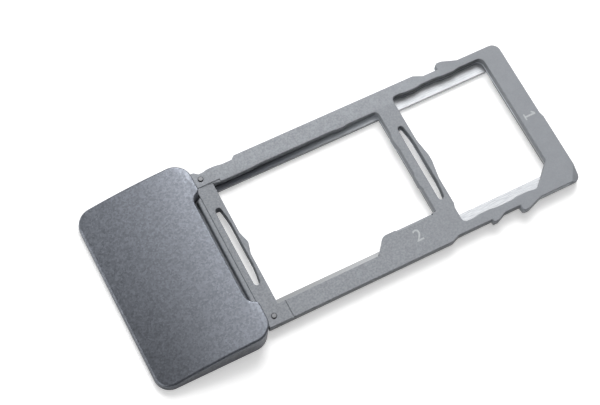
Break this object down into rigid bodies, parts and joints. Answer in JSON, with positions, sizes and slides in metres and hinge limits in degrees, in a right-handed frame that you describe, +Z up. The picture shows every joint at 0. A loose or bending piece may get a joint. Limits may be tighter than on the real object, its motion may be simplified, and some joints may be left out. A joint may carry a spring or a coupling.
{
  "type": "sim card tray",
  "caption": "Phone card tray: moulded frame on a steel plate, with a sim card window and a memory card window, spring arms, side catches and a curved end cover.",
  "frame": {"origin": "middle of the underside: the middle of the length and width, at the plane that the tray lies on", "axes": "+X along the tray from the cover to the tip, +Y across it towards the left rail, +Z up, the side the cards go in"},
  "size_m": [0.039, 0.0164, 0.0023],
  "materials": {
    "cover_paint": "blue-grey paint with a fine metallic grain",
    "frame_plastic": "matt grey moulded plastic",
    "plate_steel": "bright rolled steel",
    "pin_steel": "dull grey steel"
  },
  "bodies": {
    "root": {"cover": "cover_paint", "tray_frame": "frame_plastic", "support_plate": "plate_steel", "left_pin": "pin_steel", "right_pin": "pin_steel"}
  },
  "joints": []
}
